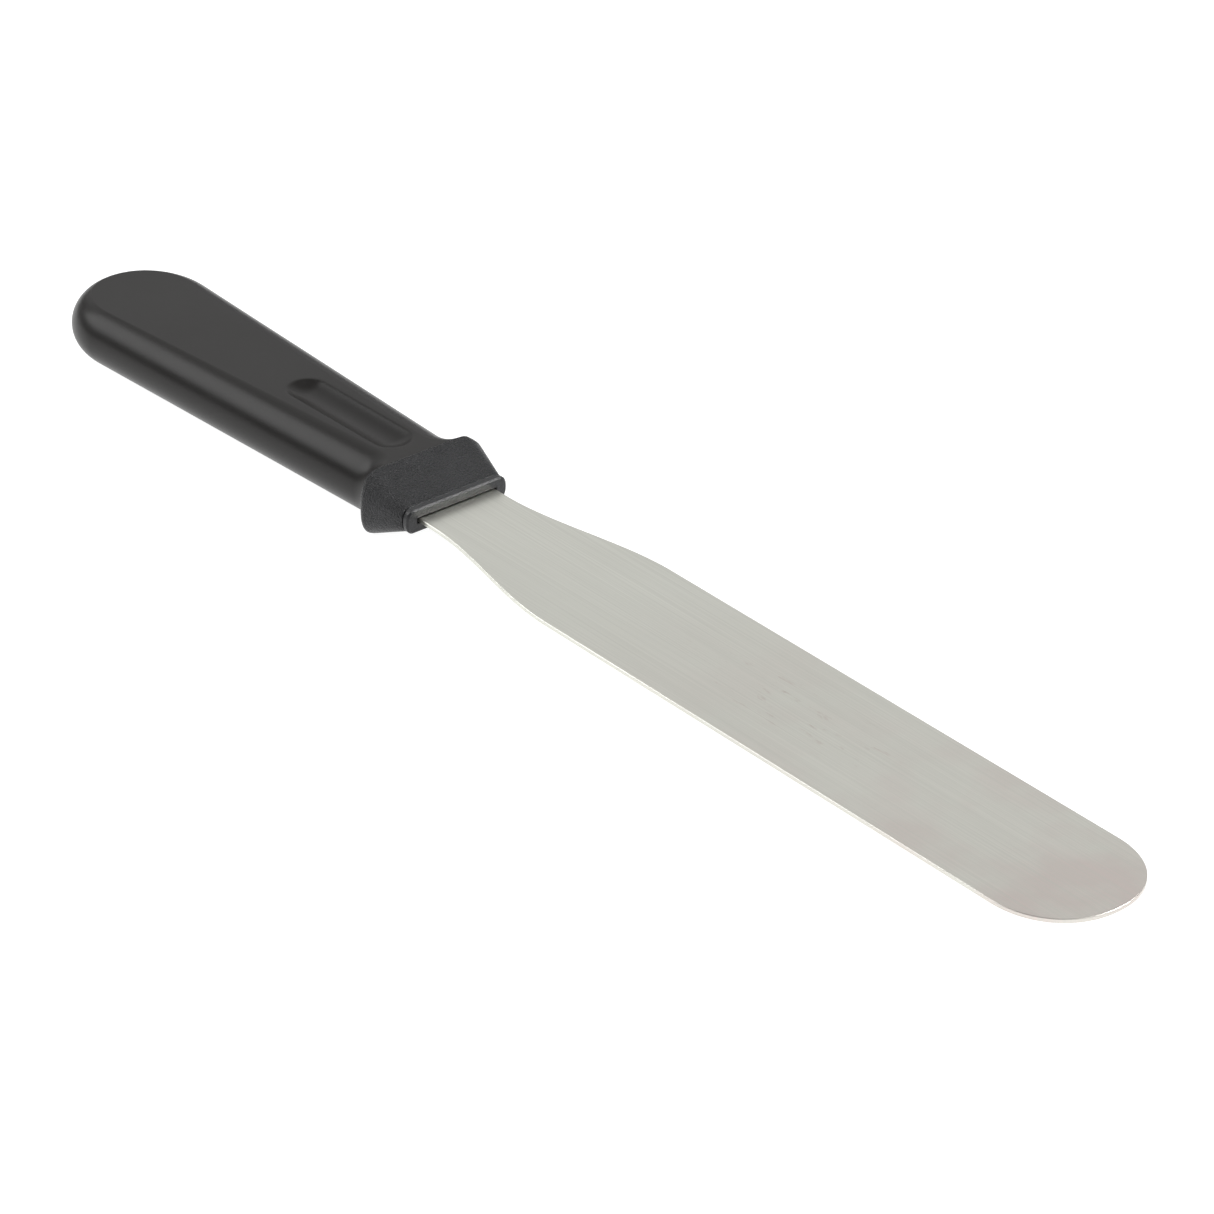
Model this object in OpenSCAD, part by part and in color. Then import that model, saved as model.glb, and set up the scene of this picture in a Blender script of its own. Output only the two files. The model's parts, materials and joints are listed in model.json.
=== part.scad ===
// Straight icing spatula: a flexible steel blade with its tang locked in a moulded handle.
// Millimetres. +X runs from the handle to the tip of the blade, +Z is the upper face.
// The origin is the middle of the overall length, level with the lowest point of the handle.

/* [Blade] */
// Length of the blade in front of the guard
blade_len = 203.2; // [150:0.1:305]
// Full width of the blade
blade_w = 34.9; // [30:0.1:50]
// Thickness of the steel sheet
blade_t = 1.0; // [0.8:0.1:1.5]
// Width of the narrow root where the blade leaves the guard
root_w = 21.3; // [16:0.1:26]
// Length of the parallel root in front of the guard
root_len = 4.0; // [2:0.5:20]
// Length over which the root widens to the full width
flare_len = 47.0; // [25:0.5:60]
// Length of the rounded tip
tip_len = 18.0; // [10:0.5:25]
// Fullness of the rounded tip: 2 is an ellipse, more is squarer
tip_fullness = 2.12; // [1.8:0.02:3]

/* [Tang] */
// Width of the tang inside the handle
tang_w = 13.0; // [9:0.5:15]
// Distance from the guard's front face back to the tang's shoulders
shoulder_depth = 9.0; // [6:0.5:11]
// Distance left between the tang's end and the butt of the handle
tang_setback = 36.0; // [25:1:50]
// Diameter of the lock holes in the tang
lock_hole_d = 5.0; // [3:0.5:7]
// Number of lock holes
lock_holes = 3; // [2:1:4]

/* [Guard] */
// Length of the guard from its rear face to its front face
guard_len = 13.7; // [12.5:0.1:20]
// Steel-to-plastic clearance each side of the root in the guard's slot
slot_side_gap = 0.4; // [0.1:0.05:0.6]
// Clearance above and below the steel in the guard's slot
slot_face_gap = 0.18; // [0.05:0.01:0.3]
// Plastic beyond each end of the slot
lip_margin = 2.85; // [2:0.05:5]
// Plastic above and below the blade at the lip
lip_cover = 2.35; // [2:0.05:4]
// Thickness of the lip, front to back
lip_len = 1.7; // [1:0.1:3]
// Depth of the lip's rounded ends
lip_round = 2.2; // [1.5:0.1:3]
// Set-back of the flanks behind the lip's ends
lip_step = 0.15; // [0.1:0.05:1]
// Bevel round the lip's front edge
lip_bevel = 0.35; // [0.2:0.05:0.6]
// How much further than the lip the rear rim stands out on each side
rim_flare = 3.15; // [1.5:0.1:5]
// Distance from the guard's rear face forward to the rim's ridge
rim_lead = 1.4; // [0.5:0.1:3]
// How much narrower the guard's rear face is than the ridge, on each side
rim_bead = 1.0; // [0.3:0.1:1.2]
// Fullness of the rim's rounded sides: 2 is an ellipse, more is squarer
rim_fullness = 2.8; // [2:0.1:3.5]
// Width of the flat on the rear rim's top
rim_flat_w = 21.4; // [14:0.1:24]
// Length of the guard's spigot inside the grip
spigot_len = 8.0; // [6:0.5:12]
// Width of the spigot's head
spigot_w = 19.0; // [18:0.5:20]
// Height of the spigot
spigot_h = 8.0; // [6:0.5:9]
// Undercut each side of the spigot's neck
spigot_undercut = 1.5; // [0.5:0.1:2]

/* [Grip] */
// Length of the grip from the guard to the butt
grip_len = 118.7; // [98:0.1:150]
// Width of the grip just behind the flare
neck_w = 25.5; // [23:0.1:30]
// Width of the grip at the butt, before it is rounded
butt_w = 36.5; // [28:0.1:42]
// Width of the flat top just behind the flare
neck_flat_w = 10.2; // [6:0.1:16]
// Width of the flat top at the butt
butt_flat_w = 27.2; // [18:0.1:32]
// Thickness at the guard
neck_t = 15.8; // [14:0.1:19]
// Thickness at the butt
butt_t = 13.4; // [11:0.1:16]
// Drop of the handle's middle plane below the blade, at the guard's rear face
joint_drop = 0.6; // [0:0.05:1]
// Further drop of the grip's middle plane from guard to butt
butt_drop = 0.85; // [0:0.05:2.5]
// Length of the concave flare into the guard
flare_back = 6.5; // [4:0.5:10]
// Length of the rounded butt
butt_round = 19.5; // [12:0.5:22]
// Edge rounding at the very end of the butt
butt_edge = 4.2; // [2.5:0.1:6]

/* [Thumb recess] */
// Length of the recess
recess_len = 39.5; // [25:0.5:50]
// Width of the recess
recess_w = 9.6; // [7:0.1:11]
// Depth of the recess
recess_depth = 1.5; // [0.8:0.1:1.8]
// Distance from the guard to the recess
recess_gap = 4.8; // [4:0.5:12]

/* [Core] */
// Plastic each side of the tang
core_wall = 2.4; // [1.5:0.1:2.8]
// Plastic above and below the tang
core_cover = 2.3; // [1.5:0.1:2.4]
// Plastic behind the tang's end
core_end = 6.0; // [3:0.5:10]
// Number of key notches along each side of the core
core_notches = 5; // [3:1:7]
// Length of each key notch
notch_len = 4.0; // [2:0.5:6]
// Depth of each key notch
notch_depth = 1.2; // [0.5:0.1:1.4]

/* [Hidden] */

arc_steps = 12;      // points on each quarter of a grip or guard side
outline_steps = 28;  // points on each curve of the blade's outline
overcut = 1;         // how far a cutter runs past the face it opens
lip_fullness = 2.4;  // fullness of the lip's rounded ends

// Longitudinal places, measured forward from the guard's front face
joint_x = -guard_len;
spigot_end_x = joint_x - spigot_len;
butt_x = joint_x - grip_len;
tang_end_x = butt_x + tang_setback;
core_end_x = tang_end_x - core_end;

// Slot, lip and rim
slot_w = root_w + 2 * slot_side_gap;
slot_h = blade_t + 2 * slot_face_gap;
lip_w = slot_w + 2 * lip_margin;
lip_h = blade_t + 2 * lip_cover;
rim_w = lip_w + 2 * rim_flare;
rim_h = neck_t;
tang_slot_w = tang_w + 2 * slot_face_gap;

// Core section
core_w = tang_w + 2 * core_wall;
core_h = blade_t + 2 * core_cover;

// Placing: middle of the overall length, on the lowest face
lift = joint_drop + max(rim_h / 2, butt_t / 2 + butt_drop);
shift_x = -(blade_len + butt_x) / 2;

function mix(a, b, t) = a + (b - a) * t;
function ease(t) = t * t * (3 - 2 * t);
function root(v) = sqrt(max(0, v));

// ---- blade outline ----

function flare_point(t) =
    [root_len + flare_len * t, mix(root_w, blade_w, ease(t)) / 2];

function tip_point(a) =
    [blade_len - tip_len * (1 - pow(sin(a), 2 / tip_fullness)),
     blade_w / 2 * pow(max(0, cos(a)), 2 / tip_fullness)];

// Upper half of the outline, from the shoulders to the tip
half_outline = concat(
    [[-shoulder_depth, tang_w / 2], [-shoulder_depth, root_w / 2]],
    [for (i = [0 : outline_steps]) flare_point(i / outline_steps)],
    [for (i = [0 : outline_steps]) tip_point(90 * i / outline_steps)]);

function mirrored(pts) = [for (i = [len(pts) - 2 : -1 : 0]) [pts[i][0], -pts[i][1]]];

// Distance between neighbouring lock holes along the part of the tang in the core
lock_pitch = (spigot_end_x - tang_end_x) / (lock_holes + 1);

module lock_hole_row(d, h) {
    for (i = [1 : lock_holes])
        translate([spigot_end_x - i * lock_pitch, 0, 0])
            cylinder(d = d, h = h, center = true, $fn = 48);
}

module tang_bar() {
    bar_len = -shoulder_depth - tang_end_x - tang_w / 2;
    translate([-shoulder_depth - bar_len, -tang_w / 2, -blade_t / 2])
        cube([bar_len + overcut, tang_w, blade_t]);
    translate([tang_end_x + tang_w / 2, 0, 0])
        cylinder(d = tang_w, h = blade_t, center = true, $fn = 64);
}

module drilled_tang() {
    difference() {
        tang_bar();
        lock_hole_row(lock_hole_d, blade_t + 2 * overcut);
    }
}

// ---- lofted shells ----

// Point t degrees round a side of depth p and half height h, with fullness n
function side_point(t, p, h, n) =
    [p * pow(max(0, sin(t)), 2 / n), sign(cos(t)) * h * pow(abs(cos(t)), 2 / n)];

// One ring of a flat-topped section: flat half width a, middle height zc, and the points of one side
function ring_of(x, a, zc, side) =
    concat(
        [for (q = side) [x, a + q[0], zc + q[1]]],
        [for (i = [2 * arc_steps : -1 : 0]) [x, -a - side[i][0], zc + side[i][1]]]);

// A ring with side depth p, half height h and fullness n
function side_ring(x, a, p, h, zc, n) =
    ring_of(x, a, zc, [for (i = [0 : 2 * arc_steps]) side_point(90 * i / arc_steps, p, h, n)]);

// Radius of the arc that bulges by p between two creases 2 h apart
function bulge_r(p, h) = (h * h + p * p) / (2 * p);

// Point t degrees round a side that is one arc, or half an ellipse where it is deeper than it is high
function bulge_point(t, p, h) =
    p >= h ? [p * sin(t), h * cos(t)]
    : let (r = bulge_r(p, h), a = asin(h / r) * (1 - t / 90))
      [p - r + r * cos(a), r * sin(a)];

// Height of that side at distance d out from the crease
function bulge_height(d, p, h) =
    p >= h ? h * root(1 - pow(d / p, 2))
    : let (r = bulge_r(p, h))
      root(r * r - pow(r - p + d, 2));

// Closed skin over rings that all have the same number of points
module skin(rings) {
    n = len(rings[0]);
    m = len(rings);
    points = [for (r = rings) each r];
    sides = [for (j = [0 : m - 2], i = [0 : n - 1])
        [j * n + i, (j + 1) * n + i, (j + 1) * n + (i + 1) % n, j * n + (i + 1) % n]];
    first = [for (i = [0 : n - 1]) i];
    last = [for (i = [n - 1 : -1 : 0]) (m - 1) * n + i];
    polyhedron(points = points, faces = concat([first], sides, [last]), convexity = 4);
}

// ---- grip ----

// Share of the way from the guard to the butt
function along(x) = (joint_x - x) / grip_len;
// Share of the flare left at x: 1 at the guard, 0 behind the flare
function flare_share(x) = 1 - root(1 - pow(max(0, 1 - (joint_x - x) / flare_back), 2));
function flat_half(x) =
    mix(mix(neck_flat_w, butt_flat_w, along(x)), rim_flat_w, flare_share(x)) / 2;
function width_half(x) =
    mix(mix(neck_w, butt_w, along(x)), rim_w - 2 * rim_bead, flare_share(x)) / 2;
function thick_half(x) = mix(neck_t, butt_t, along(x)) / 2;
function mid_z(x) = -joint_drop - butt_drop * along(x);

// Point t degrees round the grip's side at x, which takes the rim's fullness as it nears the guard
function grip_point(t, x) =
    let (p = width_half(x) - flat_half(x), h = thick_half(x))
    mix(bulge_point(t, p, h), side_point(t, p, h, rim_fullness), flare_share(x));

function grip_ring(x) =
    ring_of(x, flat_half(x), mid_z(x), [for (i = [0 : 2 * arc_steps]) grip_point(90 * i / arc_steps, x)]);

// Height of the rounded butt at u behind its start and y to the side, rolled evenly all the way round
function butt_height(u, y, x) =
    let (rho = norm([u, y]),
         flat = 1 / norm([u / rho / (butt_round - butt_edge), y / rho / flat_half(x)]),
         edge = 1 / norm([u / rho / butt_round, y / rho / width_half(x)]))
    rho <= flat ? thick_half(x)
    : bulge_height(min(rho, edge) - flat, edge - flat, thick_half(x));

// Ring of the rounded butt at angle t, 0 where the rounding starts and 90 at the end
function butt_ring(t) =
    let (u = butt_round * sin(t),
         x = butt_x + butt_round - u,
         flat = flat_half(x) * root(1 - pow(u / (butt_round - butt_edge), 2)),
         depth = width_half(x) * cos(t) - flat,
         side = [for (i = [0 : 2 * arc_steps])
             let (out = depth * sin(90 * i / arc_steps))
             [out, sign(arc_steps - i) * butt_height(u, flat + out, x)]])
    ring_of(x, flat, mid_z(x), side);

flare_steps = 8;
butt_angles = [15, 30, 42, 52, 60, 67, 73, 78, 82, 85.5, 88, 89.4];

grip_rings = concat(
    [for (i = [0 : flare_steps]) grip_ring(joint_x - flare_back * pow(i / flare_steps, 2))],
    [grip_ring(butt_x + butt_round)],
    [for (t = butt_angles) butt_ring(t)]);

module grip_shell() {
    skin(grip_rings);
}

// Slope of the grip's upper face, as a fall towards the butt
top_fall = atan((butt_drop + (neck_t - butt_t) / 2) / grip_len);

// Dish with a cylindrical floor and ball ends, sunk in the sloping upper face
module recess_cutter() {
    dish_r = (pow(recess_w / 2, 2) + pow(recess_depth, 2)) / (2 * recess_depth);
    run = recess_len - recess_w;
    translate([joint_x - recess_gap, 0, thick_half(joint_x - recess_gap) + mid_z(joint_x - recess_gap)])
        rotate([0, -top_fall, 0])
            translate([-recess_w / 2, 0, dish_r - recess_depth])
                rotate([0, -90, 0]) {
                    cylinder(r = dish_r, h = run, $fn = 96);
                    sphere(r = dish_r, $fn = 96);
                    translate([0, 0, run])
                        sphere(r = dish_r, $fn = 96);
                }
}

// ---- core ----

core_len = spigot_end_x - core_end_x;
notch_pitch = core_len / (core_notches + 1);

module core_body() {
    difference() {
        translate([core_end_x, -core_w / 2, -core_h / 2])
            cube([core_len, core_w, core_h]);
        for (i = [1 : core_notches], side = [-1, 1])
            translate([core_end_x + i * notch_pitch, side * core_w / 2, 0])
                cube([notch_len, 2 * notch_depth, core_h + 2 * overcut], center = true);
    }
}

// ---- guard ----

module spigot_body() {
    neck_len = spigot_len / 2;
    translate([spigot_end_x, -spigot_w / 2, -spigot_h / 2])
        cube([spigot_len - neck_len, spigot_w, spigot_h]);
    translate([joint_x - neck_len, -spigot_w / 2 + spigot_undercut, -spigot_h / 2])
        cube([neck_len, spigot_w - 2 * spigot_undercut, spigot_h]);
}

// Share of the ramp's length that lies behind the rim's ridge
ridge_share = rim_lead / (guard_len - lip_len);

function lip_ring(x, side_inset, face_inset) =
    side_ring(x, lip_w / 2 - lip_round, lip_round - side_inset, lip_h / 2 - face_inset, 0, lip_fullness);
function rear_ring() =
    side_ring(joint_x, rim_flat_w / 2, (rim_w - rim_flat_w) / 2 - rim_bead, rim_h / 2, -joint_drop,
        rim_fullness);
function ridge_ring() =
    let (flat = mix(rim_flat_w, lip_w - 2 * lip_round, ridge_share) / 2)
    side_ring(joint_x + rim_lead, flat, rim_w / 2 - flat, mix(rim_h, lip_h, ridge_share) / 2,
        -joint_drop * (1 - ridge_share), rim_fullness);

module guard_shell() {
    skin([lip_ring(-lip_len, lip_step, 0), ridge_ring(), rear_ring()]);
    skin([lip_ring(0, lip_bevel, lip_bevel), lip_ring(-lip_bevel, 0, 0), lip_ring(-lip_len, 0, 0)]);
}

// Slot for the root in front of the shoulders, and a narrower one for the tang behind them
module guard_slot() {
    translate([-shoulder_depth, -slot_w / 2, -slot_h / 2])
        cube([shoulder_depth + overcut, slot_w, slot_h]);
    translate([spigot_end_x - overcut, -tang_slot_w / 2, -slot_h / 2])
        cube([-spigot_end_x, tang_slot_w, slot_h]);
}

// ---- the pieces ----

// Stamped steel blade with its tang
module blade() {
    color("silver") {
        translate([0, 0, -blade_t / 2])
            linear_extrude(height = blade_t)
                polygon(concat(half_outline, mirrored(half_outline)));
        drilled_tang();
    }
}

// Grained collar that slides over the tang up to its shoulders
module guard() {
    color("#2b2d31")
        difference() {
            union() {
                guard_shell();
                spigot_body();
            }
            guard_slot();
        }
}

// Inner moulding that fills the tang's holes
module core() {
    color("#3a3a3a")
        difference() {
            core_body();
            drilled_tang();
        }
}

// Smooth outer moulding, shut off against the guard
module grip() {
    color("#3d3a39")
        difference() {
            grip_shell();
            recess_cutter();
            spigot_body();
            core_body();
        }
}

module placed() {
    translate([shift_x, 0, lift])
        children();
}

placed() blade();
placed() guard();
placed() core();
placed() grip();
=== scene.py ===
import json
import logging
import math
from dataclasses import dataclass, field, replace
from enum import Enum

import bmesh
import bpy
from mathutils import Matrix, Vector

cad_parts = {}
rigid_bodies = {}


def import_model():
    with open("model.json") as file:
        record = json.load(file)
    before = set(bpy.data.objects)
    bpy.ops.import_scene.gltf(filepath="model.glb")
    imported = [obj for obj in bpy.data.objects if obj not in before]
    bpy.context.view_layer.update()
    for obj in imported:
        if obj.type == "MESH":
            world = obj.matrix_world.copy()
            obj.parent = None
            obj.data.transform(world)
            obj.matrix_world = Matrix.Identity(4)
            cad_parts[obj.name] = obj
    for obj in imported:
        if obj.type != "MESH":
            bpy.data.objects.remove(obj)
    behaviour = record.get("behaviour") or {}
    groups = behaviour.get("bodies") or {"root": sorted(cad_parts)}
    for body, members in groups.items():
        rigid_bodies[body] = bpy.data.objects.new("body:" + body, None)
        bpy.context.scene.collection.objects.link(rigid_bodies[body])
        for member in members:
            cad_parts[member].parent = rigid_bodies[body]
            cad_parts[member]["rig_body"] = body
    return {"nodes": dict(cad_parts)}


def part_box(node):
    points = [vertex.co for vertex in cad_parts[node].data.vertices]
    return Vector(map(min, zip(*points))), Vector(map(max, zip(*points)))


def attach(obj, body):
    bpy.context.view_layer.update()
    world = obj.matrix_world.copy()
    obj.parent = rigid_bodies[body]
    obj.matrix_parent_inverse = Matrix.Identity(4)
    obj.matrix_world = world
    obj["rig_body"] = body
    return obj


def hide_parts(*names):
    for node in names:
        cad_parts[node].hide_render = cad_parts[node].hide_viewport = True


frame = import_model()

MM = 0.001
LOG = logging.getLogger("spatula")
JOIN_WITHIN = 0.0005  # points closer than this, in millimetres, become one
ON_FLAT = 1e-6  # slack, in millimetres, when a point is sorted into flat or side
PLATE_SHARP_DEG = 8  # less than the first step of a plate's rounded edge
Point = tuple[float, float, float]
Ring = list[Point]


class Slot(Enum):
    """The record's material slots."""

    BLADE = "blade_steel"
    GUARD = "guard_plastic"
    CORE = "core_plastic"
    GRIP = "grip_plastic"


def mix(a: float, b: float, t: float) -> float:
    """The value a share t of the way from a to b."""
    return a + (b - a) * t


def ease(t: float) -> float:
    """Smooth step of t, flat at both ends."""
    return t * t * (3 - 2 * t)


def root(v: float) -> float:
    """Square root, with anything below nothing taken as nothing."""
    return math.sqrt(max(0.0, v))


# ---- places shared by the pieces, in millimetres ----


@dataclass(frozen=True)
class Datum:
    """Where the guard's front face and the blade's middle plane lie in the row frame.

    Every sub-assembly gives its sizes forward from the guard's face and up from that plane.
    """

    face_x: float
    plane_z: float

    @classmethod
    def from_frame(cls, blade_len: float) -> "Datum":
        """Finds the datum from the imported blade.

        Args:
            blade_len: length of the blade in front of the guard.

        Returns:
            The datum, in millimetres.
        """
        low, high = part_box("blade")
        return cls(high.x / MM - blade_len, (low.z + high.z) / 2 / MM)

    def place(self, p: Point) -> Vector:
        """A point of a sub-assembly as metres in the row frame."""
        return Vector(((p[0] + self.face_x) * MM, p[1] * MM, (p[2] + self.plane_z) * MM))


# ---- mesh building ----


def bulge_height(out: float, depth: float, half_height: float) -> float:
    """Height of an evenly bulging side at some distance out from its crease.

    Args:
        out: distance out from the crease.
        depth: how far the side bulges.
        half_height: height of the crease.

    Returns:
        The height above the side's middle.
    """
    if depth >= half_height:
        return half_height * root(1 - (out / depth) ** 2)
    radius = (half_height ** 2 + depth ** 2) / (2 * depth)
    return root(radius ** 2 - (radius - depth + out) ** 2)


def ring_of(x: float, flat: float, middle: float, side: list[tuple[float, float]],
            run_points: int) -> Ring:
    """Points round a flat-topped section whose two sides are alike.

    Args:
        x: place along the handle.
        flat: half the width of the flat.
        middle: height of the section's middle.
        side: distance out and height of each point of one side, from the top down.
        run_points: steps across each flat.

    Returns:
        The ring, from the top's left end across, down, back and up again.
    """
    across = [mix(-flat, flat, i / run_points) for i in range(run_points)]
    ring = [(x, y, middle + side[0][1]) for y in across]
    ring += [(x, flat + out, middle + z) for out, z in side]
    ring += [(x, -y, middle + side[-1][1]) for y in across[1:]]
    ring += [(x, -flat - out, middle + z) for out, z in reversed(side[1:])]
    return ring


@dataclass(frozen=True)
class Section:
    """A flat-topped, round-sided section across the handle, in millimetres.

    Its sides run from full, squarish ones to single arcs as arc_share goes from 0 to 1.
    """

    flat: float
    depth: float
    half_height: float
    middle: float
    fullness: float
    arc_share: float = 0.0

    def full_point(self, angle: float) -> tuple[float, float]:
        """A point of the side, with the section's fullness.

        Args:
            angle: angle down from the top.

        Returns:
            Distance out from the flat's edge, and height.
        """
        power = 2 / self.fullness
        cosine = math.cos(angle)
        return (self.depth * max(0.0, math.sin(angle)) ** power,
                math.copysign(self.half_height * abs(cosine) ** power, cosine))

    def arc_point(self, angle: float) -> tuple[float, float]:
        """A point of the side, on one even arc.

        Args:
            angle: angle down from the top, which sets how far along the arc the point is.

        Returns:
            Distance out from the flat's edge, and height.
        """
        if self.depth >= self.half_height:
            return self.depth * math.sin(angle), self.half_height * math.cos(angle)
        radius = (self.half_height ** 2 + self.depth ** 2) / (2 * self.depth)
        turn = math.asin(self.half_height / radius) * (1 - 2 * angle / math.pi)
        return self.depth - radius + radius * math.cos(turn), radius * math.sin(turn)

    def ring(self, x: float, run_points: int, side_points: int) -> Ring:
        """Points round the section at one place along the handle.

        Args:
            x: place along the handle.
            run_points: steps across each flat.
            side_points: steps round each side.

        Returns:
            The ring, from the top's left end across, down, back and up again.
        """
        side = []
        for i in range(side_points + 1):
            angle = math.pi * i / side_points
            full, arc = self.full_point(angle), self.arc_point(angle)
            side.append((mix(full[0], arc[0], self.arc_share),
                         mix(full[1], arc[1], self.arc_share)))
        return ring_of(x, self.flat, self.middle, side, run_points)


def blend_rings(a: Ring, b: Ring, t: float) -> Ring:
    """The ring a share t of the way from ring a to ring b."""
    return [tuple(mix(p[k], q[k], t) for k in range(3)) for p, q in zip(a, b)]


def round_over(a: Ring, corner: Ring, b: Ring, steps: int) -> list[Ring]:
    """Rings that turn smoothly from a to b inside a corner.

    Args:
        a: ring where the rounding starts.
        corner: ring of the sharp corner.
        b: ring where the rounding ends.
        steps: number of steps round it.

    Returns:
        The rings, both ends included.
    """
    rings = []
    for i in range(steps + 1):
        t = i / steps
        rings.append(blend_rings(blend_rings(a, corner, t), blend_rings(corner, b, t), t))
    return rings


class Shaper:
    """Makes mesh pieces from rings and outlines laid out from the datum."""

    def __init__(self, datum: Datum) -> None:
        """Keeps the datum that every piece is placed from."""
        self.datum = datum

    def loft(self, mesh: bmesh.types.BMesh, rings: list[Ring]) -> None:
        """Adds a closed skin over rings that all have the same number of points.

        Args:
            mesh: the mesh that the skin is added to.
            rings: the rings in order.
        """
        rows = [[mesh.verts.new(self.datum.place(p)) for p in ring] for ring in rings]
        count = len(rows[0])
        for here, after in zip(rows, rows[1:]):
            for i in range(count):
                j = (i + 1) % count
                mesh.faces.new((here[i], after[i], after[j], here[j]))
        mesh.faces.new(rows[0])
        mesh.faces.new(list(reversed(rows[-1])))

    def finish(self, name: str, mesh: bmesh.types.BMesh, sharp_deg: float) -> bpy.types.Object:
        """Closes a mesh off as a smooth-shaded object.

        Args:
            name: the object's name.
            mesh: the mesh, which is freed.
            sharp_deg: edges that turn by more than this stay crisp.

        Returns:
            The new object.
        """
        bmesh.ops.remove_doubles(mesh, verts=mesh.verts, dist=JOIN_WITHIN * MM)
        bmesh.ops.recalc_face_normals(mesh, faces=mesh.faces)
        data = bpy.data.meshes.new(name)
        mesh.to_mesh(data)
        mesh.free()
        for face in data.polygons:
            face.use_smooth = True
        data.set_sharp_from_angle(angle=math.radians(sharp_deg))
        made = bpy.data.objects.new(name, data)
        bpy.context.scene.collection.objects.link(made)
        return made

    def plate(self, name: str, outlines: list[list[tuple[float, float]]], thickness: float,
              edge: float, edge_steps: int) -> bpy.types.Object:
        """Makes a flat plate with rounded edges, cut to outlines.

        Args:
            name: the object's name.
            outlines: the outer line, then each hole.
            thickness: thickness of the sheet.
            edge: radius of the rounded edge.
            edge_steps: steps round that edge.

        Returns:
            The new object.
        """
        curve = bpy.data.curves.new(name + "_line", "CURVE")
        curve.dimensions = "2D"
        curve.fill_mode = "BOTH"
        curve.extrude = (thickness / 2 - edge) * MM
        curve.bevel_depth = edge * MM
        curve.bevel_resolution = edge_steps
        curve.offset = -edge * MM
        for outline in outlines:
            spline = curve.splines.new("POLY")
            spline.points.add(len(outline) - 1)
            for point, (x, y) in zip(spline.points, outline):
                placed = self.datum.place((x, y, 0))
                point.co = (placed.x, placed.y, 0, 1)
            spline.use_cyclic_u = True
        drawn = bpy.data.objects.new(name + "_line", curve)
        bpy.context.scene.collection.objects.link(drawn)
        bpy.context.view_layer.update()
        evaluated = drawn.evaluated_get(bpy.context.evaluated_depsgraph_get())
        mesh = bmesh.new()
        mesh.from_mesh(evaluated.to_mesh())
        evaluated.to_mesh_clear()
        bpy.data.objects.remove(drawn)
        bmesh.ops.translate(mesh, verts=mesh.verts, vec=(0, 0, self.datum.plane_z * MM))
        return self.finish(name, mesh, PLATE_SHARP_DEG)


# ---- finishes ----


class NodeTree:
    """A short way to add and join shader nodes."""

    def __init__(self, tree: bpy.types.NodeTree) -> None:
        """Keeps the tree that nodes are added to."""
        self.tree = tree

    def add(self, kind: str, values: dict | None = None, **settings: object) -> bpy.types.Node:
        """Adds a node.

        Args:
            kind: Blender's name for the node.
            values: input socket names or numbers and their values.
            settings: properties of the node itself.

        Returns:
            The new node.
        """
        node = self.tree.nodes.new(kind)
        for key, value in settings.items():
            setattr(node, key, value)
        for key, value in (values or {}).items():
            node.inputs[key].default_value = value
        return node

    def join(self, source: bpy.types.NodeSocket, target: bpy.types.NodeSocket) -> None:
        """Joins an output socket to an input socket."""
        self.tree.links.new(source, target)

    def place(self, group: bpy.types.NodeTree, **values: float) -> bpy.types.Node:
        """Adds a node group with its own values.

        Args:
            group: the group.
            values: its inputs' values, with underscores standing for spaces in their names.

        Returns:
            The new node.
        """
        node = self.add("ShaderNodeGroup", node_tree=group)
        for key, value in values.items():
            node.inputs[key.replace("_", " ")].default_value = value
        return node

    def map_range(self, source: bpy.types.NodeSocket, span: tuple[float, float],
                  to: tuple[float, float]) -> bpy.types.NodeSocket:
        """Spreads a value from one span over another.

        Args:
            source: the value.
            span: its lowest and highest.
            to: what those become.

        Returns:
            The new value's socket.
        """
        node = self.add("ShaderNodeMapRange", {"From Min": span[0], "From Max": span[1],
                                               "To Min": to[0], "To Max": to[1]})
        self.join(source, node.inputs["Value"])
        return node.outputs["Result"]

    def blend_colour(self, share: bpy.types.NodeSocket, a: object,
                     b: object) -> bpy.types.NodeSocket:
        """Blends two colours, each a plain colour or a socket.

        Args:
            share: how much of b shows.
            a: first colour.
            b: second colour.

        Returns:
            The blended colour's socket.
        """
        node = self.add("ShaderNodeMix", data_type="RGBA")
        self.join(share, node.inputs[0])
        for socket, value in ((node.inputs[6], a), (node.inputs[7], b)):
            if isinstance(value, bpy.types.NodeSocket):
                self.join(value, socket)
            else:
                socket.default_value = (*value, 1)
        return node.outputs[2]


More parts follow.
